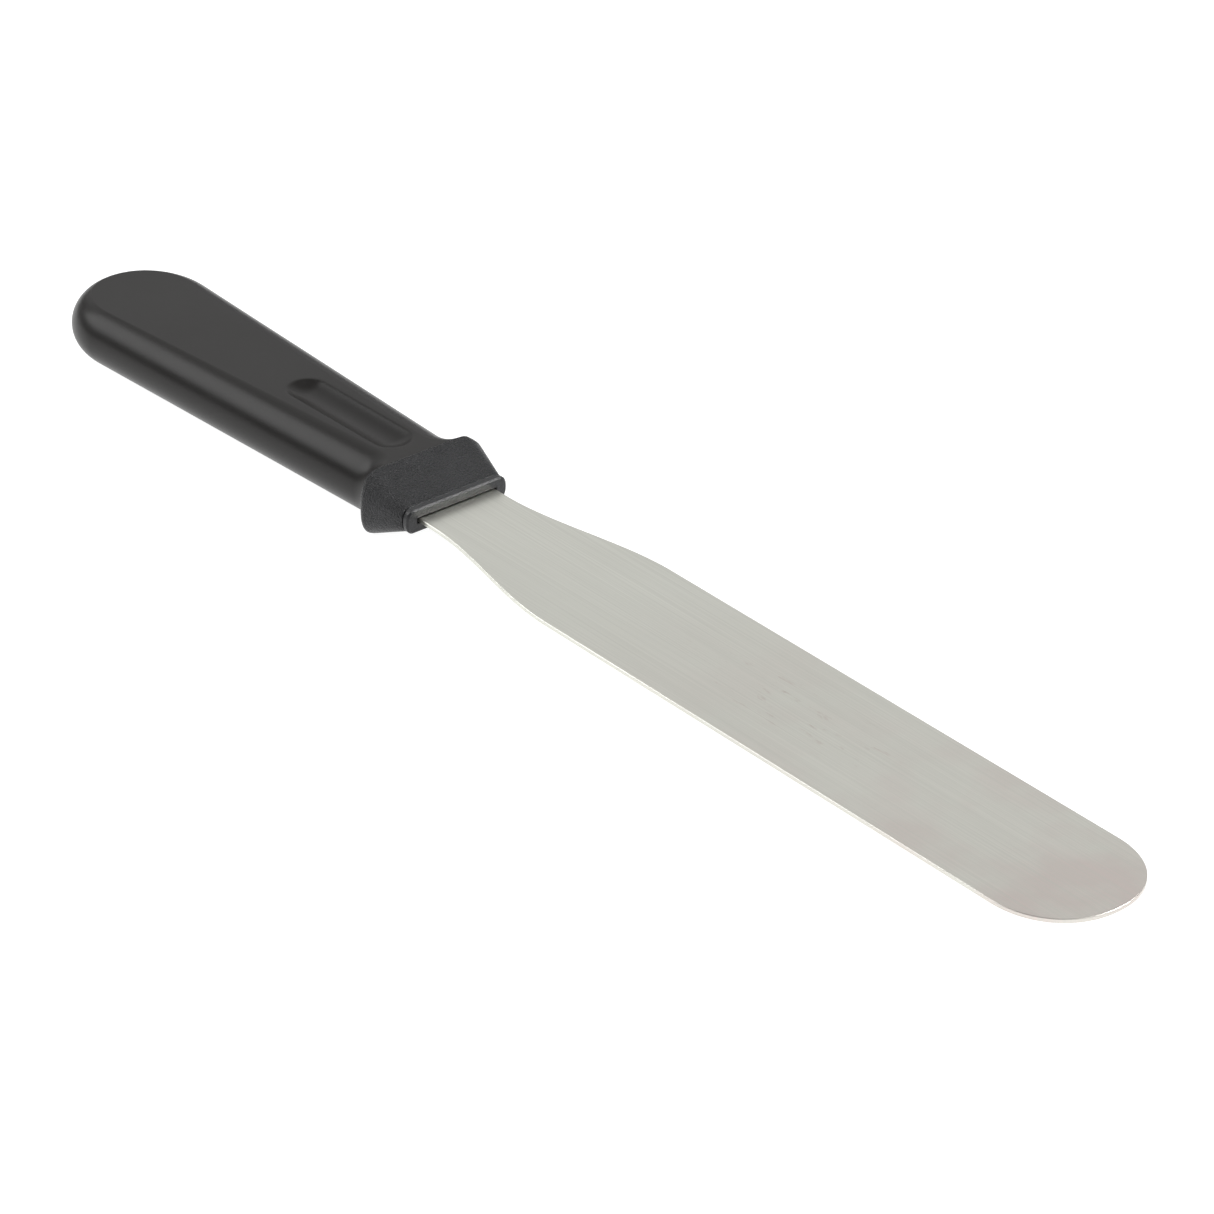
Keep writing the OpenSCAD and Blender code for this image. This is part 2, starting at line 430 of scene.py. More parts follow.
class SharedEffects:
    """The shader node groups that more than one finish uses."""

    def __init__(self) -> None:
        """Builds each group once."""
        self.sheen = self._sheen()
        self.grain = self._grain()

    @staticmethod
    def _new(name: str, inputs: dict[str, float], outputs: tuple[str, ...]) -> tuple:
        """Starts a group.

        Args:
            name: the group's name.
            inputs: input names and their usual values.
            outputs: output names.

        Returns:
            The group, its node helper, its input node and its output node.
        """
        group = bpy.data.node_groups.new(name, "ShaderNodeTree")
        for key, value in inputs.items():
            socket = group.interface.new_socket(name=key, in_out="INPUT",
                                                socket_type="NodeSocketFloat")
            socket.default_value = value
        for key in outputs:
            group.interface.new_socket(name=key, in_out="OUTPUT", socket_type="NodeSocketFloat")
        nodes = NodeTree(group)
        return group, nodes, nodes.add("NodeGroupInput"), nodes.add("NodeGroupOutput")

    def _sheen(self) -> bpy.types.NodeTree:
        """Slow cloudy change of roughness, as handling and cooling leave it.

        Returns:
            The group.
        """
        group, n, given, out = self._new(
            "uneven_sheen", {"Scale": 40, "Base": 0.4, "Spread": 0.1}, ("Roughness", "Cloud"))
        where = n.add("ShaderNodeTexCoord")
        noise = n.add("ShaderNodeTexNoise", {"Detail": 4.0, "Roughness": 0.6})
        n.join(where.outputs["Object"], noise.inputs["Vector"])
        n.join(given.outputs["Scale"], noise.inputs["Scale"])
        cloud = n.map_range(noise.outputs["Fac"], (0.3, 0.7), (-0.5, 0.5))
        swing = n.add("ShaderNodeMath", operation="MULTIPLY_ADD")
        n.join(cloud, swing.inputs[0])
        n.join(given.outputs["Spread"], swing.inputs[1])
        n.join(given.outputs["Base"], swing.inputs[2])
        n.join(swing.outputs[0], out.inputs["Roughness"])
        n.join(n.map_range(cloud, (-0.5, 0.5), (0, 1)), out.inputs["Cloud"])
        return group

    def _grain(self) -> bpy.types.NodeTree:
        """Blasted grain of a textured mould, with finer sand over it.

        Returns:
            The group.
        """
        group, n, given, out = self._new(
            "moulded_grain", {"Scale": 1500, "Sand": 0.4}, ("Height", "Pit"))
        where = n.add("ShaderNodeTexCoord")
        grit = n.add("ShaderNodeTexNoise", {"Detail": 1.0})
        sand = n.add("ShaderNodeTexNoise", {"Detail": 3.0})
        finer = n.add("ShaderNodeMath", {1: 2.3}, operation="MULTIPLY")
        n.join(given.outputs["Scale"], grit.inputs["Scale"])
        n.join(given.outputs["Scale"], finer.inputs[0])
        n.join(finer.outputs[0], sand.inputs["Scale"])
        for texture in (grit, sand):
            n.join(where.outputs["Object"], texture.inputs["Vector"])
        height = n.add("ShaderNodeMath", operation="MULTIPLY_ADD")
        n.join(sand.outputs["Fac"], height.inputs[0])
        n.join(given.outputs["Sand"], height.inputs[1])
        n.join(grit.outputs["Fac"], height.inputs[2])
        n.join(height.outputs[0], out.inputs["Height"])
        n.join(n.map_range(height.outputs[0], (0.5, 0.9), (0, 1)), out.inputs["Pit"])
        return group


@dataclass(frozen=True)
class MouldedPlastic:
    """A dark polypropylene finish.

    Grain heights are in millimetres. Over the last stretch of fade before smooth_beyond, both
    in metres along x, the grain falls to a share smooth_grain of itself.
    """

    name: str
    light: tuple[float, float, float]
    dark: tuple[float, float, float]
    roughness: float
    sheen_spread: float
    sheen_scale: float
    grain_scale: float
    grain_height: float
    grain_strength: float
    reflection: float = 0.3
    smooth_beyond: float | None = None
    fade: float = 0.0003
    smooth_grain: float = 0.18

    def build(self, effects: SharedEffects) -> bpy.types.Material:
        """Makes the material.

        Args:
            effects: the shared node groups.

        Returns:
            The material.
        """
        material = bpy.data.materials.new(self.name)
        material.use_nodes = True
        n = NodeTree(material.node_tree)
        shader = material.node_tree.nodes["Principled BSDF"]
        sheen = n.place(effects.sheen, Scale=self.sheen_scale, Base=self.roughness,
                        Spread=self.sheen_spread)
        grain = n.place(effects.grain, Scale=self.grain_scale)
        shader.inputs["Specular IOR Level"].default_value = self.reflection
        cloudy = n.blend_colour(sheen.outputs["Cloud"], self.dark, self.light)
        n.join(n.blend_colour(grain.outputs["Pit"], cloudy, self.light),
               shader.inputs["Base Color"])
        n.join(sheen.outputs["Roughness"], shader.inputs["Roughness"])
        bump = n.add("ShaderNodeBump", {"Strength": self.grain_strength,
                                        "Distance": self.grain_height * MM})
        n.join(self._height(n, grain.outputs["Height"]), bump.inputs["Height"])
        n.join(bump.outputs["Normal"], shader.inputs["Normal"])
        return material

    def _height(self, n: NodeTree, grain: bpy.types.NodeSocket) -> bpy.types.NodeSocket:
        """The grain's height, faded out where the mould is smooth.

        Args:
            n: node helper.
            grain: the full height.

        Returns:
            The height that the bump takes.
        """
        if self.smooth_beyond is None:
            return grain
        split = n.add("ShaderNodeSeparateXYZ")
        n.join(n.add("ShaderNodeTexCoord").outputs["Object"], split.inputs[0])
        kept = n.map_range(split.outputs["X"], (self.smooth_beyond - self.fade, self.smooth_beyond),
                           (1.0, self.smooth_grain))
        faded = n.add("ShaderNodeMath", operation="MULTIPLY")
        n.join(grain, faded.inputs[0])
        n.join(kept, faded.inputs[1])
        return faded.outputs[0]


@dataclass(frozen=True)
class BrushedSteel:
    """Satin stainless steel, brushed along the blade and a little rubbed."""

    name: str = "satin_stainless"
    colour: tuple[float, float, float] = (0.72, 0.722, 0.66)
    warm: tuple[float, float, float] = (0.675, 0.60, 0.565)
    rub: tuple[float, float, float] = (0.44, 0.33, 0.30)
    roughness: float = 0.34
    lay_deg: float = 2.5
    lines_along: float = 14.0
    lines_across: float = 2600.0
    line_height: float = 0.004
    line_shade: float = 0.86
    line_share: float = 0.6
    line_bump: float = 0.25
    line_roughness: float = 0.03
    sheen_scale: float = 22
    sheen_spread: float = 0.07
    warm_from_to: tuple[float, float] = (0.02, 0.16)
    warm_most: float = 0.75
    patch_scale: float = 55.0
    rub_centre: tuple[float, float] = (0.075, 0.0)
    rub_reach: tuple[float, float] = (0.042, 0.011)
    rub_grain: tuple[float, float] = (130, 520)
    rub_share: float = 0.55

    def build(self, effects: SharedEffects) -> bpy.types.Material:
        """Makes the material.

        Args:
            effects: the shared node groups.

        Returns:
            The material.
        """
        material = bpy.data.materials.new(self.name)
        material.use_nodes = True
        n = NodeTree(material.node_tree)
        shader = material.node_tree.nodes["Principled BSDF"]
        shader.inputs["Metallic"].default_value = 1.0
        where = n.add("ShaderNodeTexCoord").outputs["Object"]
        lines = self._lines(n, where)
        sheen = n.place(effects.sheen, Scale=self.sheen_scale, Base=self.roughness,
                        Spread=self.sheen_spread)
        warmth = self._warmth(n, where)
        metal = n.blend_colour(warmth, self.colour, self.warm)
        darker = tuple(self.line_shade * c for c in self.colour)
        line_mask = n.map_range(lines, (0.35, 0.65), (0.0, self.line_share))
        brushed = n.blend_colour(line_mask, metal, darker)
        n.join(n.blend_colour(self._rubs(n, where), brushed, self.rub), shader.inputs["Base Color"])
        rough = n.add("ShaderNodeMath", operation="ADD")
        n.join(sheen.outputs["Roughness"], rough.inputs[0])
        swing = (-self.line_roughness, self.line_roughness)
        n.join(n.map_range(lines, (0.3, 0.7), swing), rough.inputs[1])
        n.join(rough.outputs[0], shader.inputs["Roughness"])
        bump = n.add("ShaderNodeBump", {"Strength": self.line_bump,
                                        "Distance": self.line_height * MM})
        n.join(lines, bump.inputs["Height"])
        n.join(bump.outputs["Normal"], shader.inputs["Normal"])
        return material

    def _lines(self, n: NodeTree, where: bpy.types.NodeSocket) -> bpy.types.NodeSocket:
        """Long fine brushing lines.

        Args:
            n: node helper.
            where: position on the blade.

        Returns:
            The lines' value.
        """
        turn = n.add("ShaderNodeMapping")
        turn.inputs["Rotation"].default_value = (0, 0, math.radians(self.lay_deg))
        turn.inputs["Scale"].default_value = (self.lines_along, self.lines_across, 1)
        n.join(where, turn.inputs["Vector"])
        noise = n.add("ShaderNodeTexNoise", {"Scale": 1.0, "Detail": 3.0, "Roughness": 0.65})
        n.join(turn.outputs["Vector"], noise.inputs["Vector"])
        return noise.outputs["Fac"]

    def _warmth(self, n: NodeTree, where: bpy.types.NodeSocket) -> bpy.types.NodeSocket:
        """How warm the steel looks, more towards the tip and in soft patches.

        Args:
            n: node helper.
            where: position on the blade.

        Returns:
            The warmth as a share.
        """
        split = n.add("ShaderNodeSeparateXYZ")
        n.join(where, split.inputs[0])
        outward = n.map_range(split.outputs["X"], self.warm_from_to, (0.0, self.warm_most))
        noise = n.add("ShaderNodeTexNoise", {"Scale": self.patch_scale, "Detail": 3.0})
        n.join(where, noise.inputs["Vector"])
        patches = n.map_range(noise.outputs["Fac"], (0.38, 0.62), (0.2, 1.3))
        both = n.add("ShaderNodeMath", operation="MULTIPLY", use_clamp=True)
        n.join(outward, both.inputs[0])
        n.join(patches, both.inputs[1])
        return both.outputs[0]

    def _rubs(self, n: NodeTree, where: bpy.types.NodeSocket) -> bpy.types.NodeSocket:
        """A few faint reddish rub marks in one worn patch.

        Args:
            n: node helper.
            where: position on the blade.

        Returns:
            The marks as a share.
        """
        shift = n.add("ShaderNodeMapping", vector_type="TEXTURE")
        shift.inputs["Location"].default_value = (*self.rub_centre, 0)
        shift.inputs["Scale"].default_value = (*self.rub_reach, 1)
        n.join(where, shift.inputs["Vector"])
        reach = n.add("ShaderNodeVectorMath", operation="LENGTH")
        n.join(shift.outputs["Vector"], reach.inputs[0])
        patch = n.map_range(reach.outputs["Value"], (0.2, 1.0), (1.0, 0.0))
        stretch = n.add("ShaderNodeMapping")
        stretch.inputs["Scale"].default_value = (*self.rub_grain, 1)
        n.join(where, stretch.inputs["Vector"])
        noise = n.add("ShaderNodeTexNoise", {"Scale": 1.0, "Detail": 4.0, "Roughness": 0.7})
        n.join(stretch.outputs["Vector"], noise.inputs["Vector"])
        specks = n.map_range(noise.outputs["Fac"], (0.59, 0.72), (0.0, self.rub_share))
        both = n.add("ShaderNodeMath", operation="MULTIPLY", use_clamp=True)
        n.join(patch, both.inputs[0])
        n.join(specks, both.inputs[1])
        return both.outputs[0]


def dress(piece: bpy.types.Object, material: bpy.types.Material) -> None:
    """Gives a piece its finish, and lets it ride on the one body.

    Args:
        piece: the piece.
        material: its finish.
    """
    piece.data.materials.clear()
    piece.data.materials.append(material)
    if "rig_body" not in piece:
        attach(piece, "root")
    LOG.info("%s: %d faces, %s", piece.name, len(piece.data.polygons), material.name)


# ---- sub-assemblies ----


@dataclass
class Blade:
    """The stamped steel blade and its tang, in millimetres."""

    length: float = 203.2
    width: float = 34.9
    thickness: float = 1.0
    root_w: float = 21.3
    root_len: float = 4.0
    flare_len: float = 47.0
    tip_len: float = 18.0
    tip_fullness: float = 2.12
    tang_w: float = 13.0
    shoulder_depth: float = 9.0
    tang_end: float = -96.4
    hole_d: float = 5.0
    holes: int = 3
    holes_front: float = -21.7
    edge: float = 0.2
    edge_steps: int = 3
    steps: int = 96
    tang_steps: int = 16
    hole_steps: int = 48
    finish: BrushedSteel = field(default_factory=BrushedSteel)

    def half_outline(self) -> list[tuple[float, float]]:
        """One side of the outline.

        Returns:
            Its points, from the tang's round end to the tip.
        """
        half = self.tang_w / 2
        end = [(self.tang_end + half - half * math.cos(a), half * math.sin(a))
               for a in (math.pi / 2 * i / self.tang_steps for i in range(self.tang_steps + 1))]
        shoulder = [(-self.shoulder_depth, half), (-self.shoulder_depth, self.root_w / 2)]
        flare = [(self.root_len + self.flare_len * t, mix(self.root_w, self.width, ease(t)) / 2)
                 for t in (i / self.steps for i in range(self.steps + 1))]
        power = 2 / self.tip_fullness
        tip = [(self.length - self.tip_len * (1 - math.sin(a) ** power),
                self.width / 2 * max(0.0, math.cos(a)) ** power)
               for a in (math.pi / 2 * i / self.steps for i in range(self.steps + 1))]
        return end + shoulder + flare + tip

    def build(self, shaper: Shaper, effects: SharedEffects) -> None:
        """Builds and dresses the blade.

        Args:
            shaper: mesh maker.
            effects: the shared node groups.
        """
        half = self.half_outline()
        outline = half + [(x, -y) for x, y in reversed(half[1:-1])]
        pitch = (self.holes_front - self.tang_end) / (self.holes + 1)
        circles = [[(self.holes_front - i * pitch + self.hole_d / 2 * math.cos(a),
                     self.hole_d / 2 * math.sin(a))
                    for a in (math.tau * k / self.hole_steps for k in range(self.hole_steps))]
                   for i in range(1, self.holes + 1)]
        piece = shaper.plate("blade_sheet", [outline, *circles], self.thickness, self.edge,
                             self.edge_steps)
        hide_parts("blade")
        dress(piece, self.finish.build(effects))


@dataclass
class Handle:
    """Sizes that the guard and the grip share where they meet, in millimetres."""

    guard_len: float = 13.7
    rim_w: float = 34.1
    rim_bead: float = 1.0
    rim_fullness: float = 2.8
    rim_flat_w: float = 21.4
    neck_t: float = 15.8
    joint_drop: float = 0.6
    seam: float = 0.07

    def rear_section(self, inset: float) -> Section:
        """The section where the two mouldings meet.

        Args:
            inset: how far it is drawn in all round.

        Returns:
            The section.
        """
        depth = (self.rim_w - self.rim_flat_w) / 2 - self.rim_bead
        return Section(self.rim_flat_w / 2, depth - inset, self.neck_t / 2 - inset,
                       -self.joint_drop, self.rim_fullness)


@dataclass
class Guard:
    """The grained collar, in millimetres."""

    shared: Handle
    slot_w: float = 22.1
    slot_h: float = 1.36
    slot_depth: float = 9.0
    lip_w: float = 27.8
    lip_h: float = 5.7
    lip_len: float = 1.7
    lip_round: float = 2.2
    lip_step: float = 0.15
    lip_bevel: float = 0.35
    lip_fullness: float = 2.4
    groove_w: float = 0.6
    groove_depth: float = 0.45
    groove_face: float = 0.03
    slot_mouth: float = 0.12
    slot_ease: float = 0.1
    foot_gap: float = 0.02
    face_shares: tuple[float, ...] = (0.03, 0.3, 0.6, 0.85)
    ridge_from: float = 0.93
    ridge_to: float = 0.55
    ridge_steps: int = 8
    rim_lead: float = 1.4
    spigot_len: float = 8.0
    spigot_w: float = 19.0
    spigot_h: float = 8.0
    spigot_overlap: float = 0.5
    sharp_deg: float = 32
    run_points: int = 36
    side_points: int = 48
    finish: MouldedPlastic = MouldedPlastic(
        "grained_guard", light=(0.026, 0.0265, 0.0285), dark=(0.006, 0.0062, 0.007),
        roughness=0.31, sheen_spread=0.06, sheen_scale=90, grain_scale=2500, grain_height=0.5,
        grain_strength=1.0, reflection=0.36)

    def lip_ring(self, x: float, side_inset: float, face_inset: float) -> Ring:
        """A ring round the lip.

        Args:
            x: place along the handle.
            side_inset: how far its ends are drawn in.
            face_inset: how far its upper and lower faces are drawn in.

        Returns:
            The ring.
        """
        section = Section(self.lip_w / 2 - self.lip_round, self.lip_round - side_inset,
                          self.lip_h / 2 - face_inset, 0, self.lip_fullness)
        return section.ring(x, self.run_points, self.side_points)

    def slot_ring(self, x: float, grow: float) -> Ring:
        """A ring round the slot, with as many points as the lip's.

        Args:
            x: place along the handle.
            grow: how far it is widened all round.

        Returns:
            The ring.
        """
        half_w, half_h = self.slot_w / 2 + grow, self.slot_h / 2 + grow
        flat = self.lip_w / 2 - self.lip_round
        ring = []
        for _, y, z in self.lip_ring(x, 0, 0):
            if abs(y) <= flat + ON_FLAT:
                ring.append((x, y * half_w / flat, math.copysign(half_h, z)))
            else:
                ring.append((x, math.copysign(half_w, y), z * half_h / (self.lip_h / 2)))
        return ring

    def ridge_ring(self) -> Ring:
        """The ring of the rim's widest line.

        Returns:
            The ring, before the ridge is rounded over.
        """
        h = self.shared
        share = self.rim_lead / (h.guard_len - self.lip_len)
        flat = mix(h.rim_flat_w, self.lip_w - 2 * self.lip_round, share) / 2
        section = Section(flat, h.rim_w / 2 - flat, mix(h.neck_t, self.lip_h, share) / 2,
                          -h.joint_drop * (1 - share), h.rim_fullness)
        return section.ring(-h.guard_len + self.rim_lead, self.run_points, self.side_points)

    def rings(self) -> list[Ring]:
        """Every ring of the collar.

        Returns:
            The rings, from the back of the slot out round the lip to the rear face.
        """
        h = self.shared
        bevel = self.lip_bevel
        counts = (self.run_points, self.side_points)
        rings = [self.slot_ring(-self.slot_depth, 0), self.slot_ring(-self.slot_mouth, 0),
                 self.slot_ring(0, self.slot_ease),
                 self.lip_ring(0, bevel, bevel), self.lip_ring(-bevel, 0, 0),
                 self.lip_ring(-self.lip_len + self.groove_w / 2, 0, 0),
                 self.lip_ring(-self.lip_len, self.groove_depth, self.groove_face)]
        foot = self.lip_ring(-self.lip_len - self.foot_gap, self.lip_step, 0)
        ridge = self.ridge_ring()
        rear = h.rear_section(0).ring(-h.guard_len, *counts)
        rings += [blend_rings(foot, ridge, t) for t in self.face_shares]
        rings += round_over(blend_rings(foot, ridge, self.ridge_from), ridge,
                            blend_rings(ridge, rear, self.ridge_to), self.ridge_steps)
        rings.append(h.rear_section(0).ring(-h.guard_len + h.seam, *counts))
        rings.append(h.rear_section(h.seam).ring(-h.guard_len, *counts))
        return rings

    def build(self, shaper: Shaper, effects: SharedEffects) -> None:
        """Builds and dresses the guard.

        Args:
            shaper: mesh maker.
            effects: the shared node groups.
        """
        mesh = bmesh.new()
        shaper.loft(mesh, self.rings())
        half_w, half_h = self.spigot_w / 2, self.spigot_h / 2
        start = -self.shared.guard_len + self.spigot_overlap
        end = -self.shared.guard_len - self.spigot_len
        block = [[(x, y, z) for y, z in ((-half_w, half_h), (half_w, half_h),
                                         (half_w, -half_h), (-half_w, -half_h))]
                 for x in (start, end)]
        shaper.loft(mesh, block)
        piece = shaper.finish("guard_moulding", mesh, self.sharp_deg)
        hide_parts("guard")
        lip_x = shaper.datum.place((-self.lip_len, 0, 0)).x
        dress(piece, replace(self.finish, smooth_beyond=lip_x).build(effects))


@dataclass
class Grip:
    """The smooth outer moulding, in millimetres."""

    shared: Handle
    length: float = 118.7
    neck_w: float = 25.5
    butt_w: float = 36.5
    neck_flat_w: float = 10.2
    butt_flat_w: float = 27.2
    butt_t: float = 13.4
    butt_drop: float = 0.85
    flare_back: float = 6.5
    butt_round: float = 19.5
    butt_edge: float = 4.2
    recess_len: float = 39.5
    recess_w: float = 9.6
    recess_depth: float = 1.5
    recess_gap: float = 4.8
    rim_soft: float = 0.18
    rim_trim: float = 0.008
    bowl_share: float = 0.95
    recess_lead: float = 1.0
    recess_tail: float = 1.2
    fine_step: float = 0.3
    first_step: float = 0.05
    least_step: float = 0.06
    flare_rings: int = 26
    coarse_rings: int = 44
    butt_rings: int = 40
    butt_last_deg: float = 89.6
    sharp_deg: float = 50
    run_points: int = 72
    side_points: int = 56
    finish: MouldedPlastic = MouldedPlastic(
        "satin_grip", light=(0.0145, 0.0133, 0.0125), dark=(0.0115, 0.0106, 0.01),
        roughness=0.32, sheen_spread=0.05, sheen_scale=45, grain_scale=2600, grain_height=0.01,
        grain_strength=0.35, reflection=0.25)

    def back(self, x: float) -> float:
        """Distance behind the joint."""
        return -self.shared.guard_len - x

    def flare_share(self, x: float) -> float:
        """Share of the flare left, 1 at the guard and 0 behind the flare."""
        return 1 - root(1 - max(0.0, 1 - self.back(x) / self.flare_back) ** 2)

    def section(self, x: float) -> Section:
        """The grip's section, before the butt is rounded.

        Args:
            x: place along the handle.

        Returns:
            The section.
        """
        h = self.shared
        along = self.back(x) / self.length
        share = self.flare_share(x)
        flat = mix(mix(self.neck_flat_w, self.butt_flat_w, along), h.rim_flat_w, share) / 2
        width = mix(mix(self.neck_w, self.butt_w, along), h.rim_w - 2 * h.rim_bead, share) / 2
        return Section(flat, width - flat, mix(h.neck_t, self.butt_t, along) / 2,
                       -h.joint_drop - self.butt_drop * along, h.rim_fullness, 1 - share)

    def butt_height(self, behind: float, y: float, whole: Section) -> float:
        """Height of the rounded butt, which rolls over evenly all the way round.

        Args:
            behind: distance behind the start of the rounding.
            y: distance to the side.
            whole: the section there before rounding.

        Returns:
            The height above the section's middle.
        """
        reach = math.hypot(behind, y)
        if reach == 0:
            return whole.half_height
        lengthwise, sideways = behind / reach, y / reach
        flat = 1 / math.hypot(lengthwise / (self.butt_round - self.butt_edge),
                              sideways / whole.flat)
        edge = 1 / math.hypot(lengthwise / self.butt_round,
                              sideways / (whole.flat + whole.depth))
        if reach <= flat:
            return whole.half_height
        return bulge_height(min(reach, edge) - flat, edge - flat, whole.half_height)

    def butt_ring(self, angle: float) -> Ring:
        """A ring of the rounded butt.

        Args:
            angle: 0 where the rounding starts and a right angle at the end.

        Returns:
            The ring.
        """
        reach = self.butt_round * math.sin(angle)
        x = -self.shared.guard_len - self.length + self.butt_round - reach
        whole = self.section(x)
        flat = whole.flat * root(1 - (reach / (self.butt_round - self.butt_edge)) ** 2)
        depth = (whole.flat + whole.depth) * math.cos(angle) - flat
        side = []
        for i in range(self.side_points + 1):
            turn = math.pi * i / self.side_points
            out = depth * max(0.0, math.sin(turn))
            height = self.butt_height(reach, flat + out, whole)
            side.append((out, math.copysign(height, math.cos(turn))))
        return ring_of(x, flat, whole.middle, side, self.run_points)

    def dip(self, x: float, y: float) -> float:
        """Depth of the thumb recess, with a softened rim.

        Args:
            x: place along the handle.
            y: place across it.

        Returns:
            The depth under that point of the flat top.
        """
        half = self.recess_w / 2
        radius = (half ** 2 + self.recess_depth ** 2) / (2 * self.recess_depth)
        behind = self.back(x) - self.recess_gap
        beyond = behind - min(max(behind, half), self.recess_len - half)
        reach = math.hypot(beyond, y)
        if reach > self.bowl_share * radius:
            return 0.0
        depth = self.recess_depth - radius + math.sqrt(radius ** 2 - reach ** 2)
        return max(0.0, (depth + math.hypot(depth, self.rim_soft)) / 2 - self.rim_trim)

    def stations(self) -> list[float]:
        """Places along the grip, close together in the flare and round the recess.

        Returns:
            The places, from the joint towards the butt.
        """
        flare = [self.flare_back * (i / self.flare_rings) ** 2
                 for i in range(1, self.flare_rings + 1)]
        recess_start = self.recess_gap - self.recess_lead
        recess_end = self.recess_gap + self.recess_len + self.recess_tail
        fine = [recess_start + self.fine_step * i
                for i in range(int((recess_end - self.recess_gap + self.recess_lead)
                                   / self.fine_step))]
        rest_len = self.length - self.butt_round - recess_end
        coarse = [recess_end + rest_len * i / self.coarse_rings for i in range(self.coarse_rings)]
        found: list[float] = []
        start = self.shared.seam + self.first_step
        for back in sorted(flare + fine + coarse):
            if back > start and (not found or back - found[-1] > self.least_step):
                found.append(back)
        return [-self.shared.guard_len - back for back in found]

    def rings(self) -> list[Ring]:
        """Every ring of the grip.

        Returns:
            The rings, from the joint to the butt.
        """
        h = self.shared
        joint = -h.guard_len
        counts = (self.run_points, self.side_points)
        rings = [h.rear_section(h.seam).ring(joint, *counts),
                 self.section(joint - h.seam).ring(joint - h.seam, *counts)]
        for x in self.stations():
            ring = self.section(x).ring(x, *counts)
            for i in range(self.run_points + 1):
                _, y, z = ring[i]
                ring[i] = (x, y, z - self.dip(x, y))
            rings.append(ring)
        angles = [math.pi / 2 * ease(i / self.butt_rings) for i in range(self.butt_rings)]
        rings += [self.butt_ring(a) for a in [*angles, math.radians(self.butt_last_deg)]]
        return rings

    def build(self, shaper: Shaper, effects: SharedEffects) -> None:
        """Builds and dresses the grip.

        Args:
            shaper: mesh maker.
            effects: the shared node groups.
        """
        mesh = bmesh.new()
        shaper.loft(mesh, self.rings())
        piece = shaper.finish("grip_moulding", mesh, self.sharp_deg)
        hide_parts("grip")
        dress(piece, self.finish.build(effects))


@dataclass
class Core:
    """The inner moulding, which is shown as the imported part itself."""

    finish: MouldedPlastic = MouldedPlastic(
        "plain_core", light=(0.03, 0.03, 0.03), dark=(0.022, 0.022, 0.022), roughness=0.55,
        sheen_spread=0.1, sheen_scale=60, grain_scale=900, grain_height=0.03, grain_strength=0.5)

    def build(self, effects: SharedEffects) -> None:
        """Dresses the core.

        Args:
            effects: the shared node groups.
        """
        dress(frame["nodes"]["core"], self.finish.build(effects))


# ---- studio ----


@dataclass(frozen=True)
class Panel:
    """One soft panel: direction from the spatula, distance and size in metres, power in watts."""

    name: str
    towards: Point
    distance: float
    size: tuple[float, float]
    power: float

    def hang(self) -> None:
        """Hangs the panel so that it faces the spatula."""
        light = bpy.data.lights.new(self.name, "AREA")
        light.shape = "RECTANGLE"
        light.size, light.size_y = self.size
        light.energy = self.power
        panel = bpy.data.objects.new(self.name, light)
        direction = Vector(self.towards).normalized()
        panel.location = direction * self.distance
        panel.rotation_mode = "QUATERNION"
        panel.rotation_quaternion = direction.to_track_quat("Z", "Y")
        bpy.context.scene.collection.objects.link(panel)


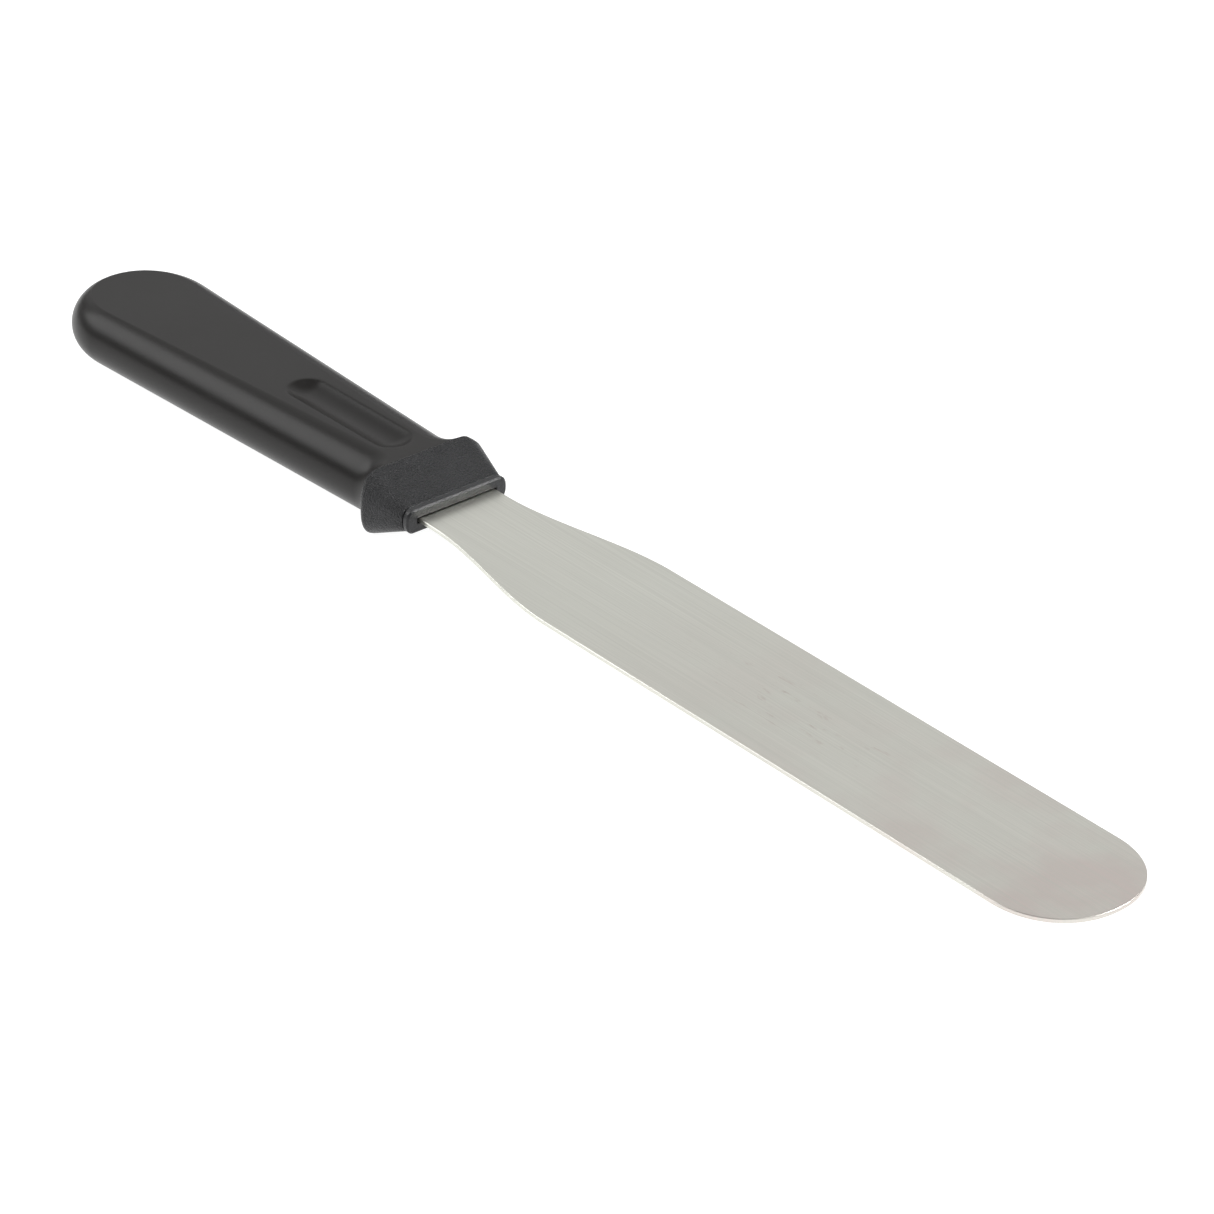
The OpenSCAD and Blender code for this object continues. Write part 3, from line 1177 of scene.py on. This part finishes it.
@dataclass
class Studio:
    """Floor, soft panels and camera. The eye is in millimetres from the datum."""

    datum: Datum
    panels: tuple[Panel, ...] = (
        Panel("panel_side", (-0.654, -0.47, 0.58), 1.5, (1.2, 0.95), 11.5),
        Panel("panel_back", (-0.654, 0.5625, 0.56), 1.6, (2.2, 1.3), 4.5),
        Panel("panel_over", (0.25, 0.05, 1.0), 1.7, (1.4, 1.4), 3),
        Panel("panel_far", (0.51, 0.56, 0.65), 1.5, (0.5, 0.5), 16))
    floor_reach: float = 6.0
    floor_points: int = 96
    floor_roughness: float = 0.9
    floor_reflection: float = 0.1
    floor_colour: tuple[float, float, float] = (0.3, 0.3, 0.3)
    floor_glow: float = 0.97
    sky: float = 0.8
    sky_bands: tuple[tuple[float, float], ...] = (
        (0.0, 0.2), (0.22, 0.22), (0.4, 0.45), (0.75, 0.3), (1.0, 0.3))
    azimuth_deg: float = 49.30
    elevation_deg: float = 30.38
    roll_deg: float = 1.0
    lens: float = 156.73
    sensor_width: float = 36
    clip_from_to: tuple[float, float] = (0.01, 50)
    eye: Point = (781.305, -628.618, 562.661)

    def add_floor(self, tip_x: float, tip_z: float, rim_x: float, rim_z: float) -> None:
        """Lays the floor under the two places that the spatula rests on.

        Args:
            tip_x: the tip, in metres.
            tip_z: the blade's lower face there.
            rim_x: the guard's rim.
            rim_z: its lowest point.
        """
        slope = (tip_z - rim_z) / (tip_x - rim_x)
        mesh = bmesh.new()
        rim = []
        for i in range(self.floor_points):
            a = math.tau * i / self.floor_points
            x, y = self.floor_reach * math.cos(a), self.floor_reach * math.sin(a)
            rim.append(mesh.verts.new((x, y, rim_z + (x - rim_x) * slope)))
        mesh.faces.new(rim)
        data = bpy.data.meshes.new("floor")
        mesh.to_mesh(data)
        mesh.free()
        floor = bpy.data.objects.new("floor", data)
        bpy.context.scene.collection.objects.link(floor)
        material = bpy.data.materials.new("pale_floor")
        material.use_nodes = True
        shader = material.node_tree.nodes["Principled BSDF"]
        shader.inputs["Base Color"].default_value = (*self.floor_colour, 1)
        shader.inputs["Roughness"].default_value = self.floor_roughness
        shader.inputs["Specular IOR Level"].default_value = self.floor_reflection
        shader.inputs["Emission Color"].default_value = (1, 1, 1, 1)
        shader.inputs["Emission Strength"].default_value = self.floor_glow
        data.materials.append(material)

    def add_light(self) -> None:
        """Sets the sky and the soft panels."""
        world = bpy.data.worlds.new("studio")
        world.use_nodes = True
        sky = world.node_tree.nodes["Background"]
        sky.inputs["Strength"].default_value = self.sky
        n = NodeTree(world.node_tree)
        height = n.add("ShaderNodeSeparateXYZ")
        n.join(n.add("ShaderNodeTexCoord").outputs["Generated"], height.inputs[0])
        bands = n.add("ShaderNodeValToRGB")
        n.join(height.outputs["Z"], bands.inputs[0])
        n.join(bands.outputs["Color"], sky.inputs["Color"])
        ramp = bands.color_ramp.elements
        for place, _ in self.sky_bands[1:-1]:
            ramp.new(place)
        for stop, (place, grey) in zip(ramp, self.sky_bands):
            stop.position, stop.color = place, (grey, grey, grey, 1)
        bpy.context.scene.world = world
        for panel in self.panels:
            panel.hang()

    def add_camera(self) -> None:
        """Stands the camera and makes it the scene's own."""
        a, e, r = (math.radians(v) for v in (self.azimuth_deg, self.elevation_deg, self.roll_deg))
        right = Vector((math.cos(a), math.sin(a), 0))
        back = Vector((math.sin(a) * math.cos(e), -math.cos(a) * math.cos(e), math.sin(e)))
        up = back.cross(right)
        turned_right = right * math.cos(r) + up * math.sin(r)
        turned_up = up * math.cos(r) - right * math.sin(r)
        data = bpy.data.cameras.new("camera")
        data.sensor_width = self.sensor_width
        data.lens = self.lens
        data.clip_start, data.clip_end = self.clip_from_to
        camera = bpy.data.objects.new("camera", data)
        turn = Matrix((turned_right, turned_up, back)).transposed()
        camera.matrix_world = Matrix.Translation(self.datum.place(self.eye)) @ turn.to_4x4()
        bpy.context.scene.collection.objects.link(camera)
        bpy.context.scene.camera = camera


def main() -> None:
    """Builds every piece, the floor, the light and the camera."""
    logging.basicConfig(level=logging.INFO, format="%(name)s %(message)s")
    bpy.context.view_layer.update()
    blade = Blade()
    datum = Datum.from_frame(blade.length)
    shaper = Shaper(datum)
    effects = SharedEffects()
    shared = Handle()
    blade.build(shaper, effects)
    Guard(shared).build(shaper, effects)
    Core().build(effects)
    Grip(shared).build(shaper, effects)
    studio = Studio(datum)
    low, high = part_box("blade")
    studio.add_floor(high.x, low.z, datum.place((-shared.guard_len, 0, 0)).x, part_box("guard")[0].z)
    studio.add_light()
    studio.add_camera()
    bpy.context.scene.view_settings.view_transform = "Standard"


if __name__ == "__main__":
    main()
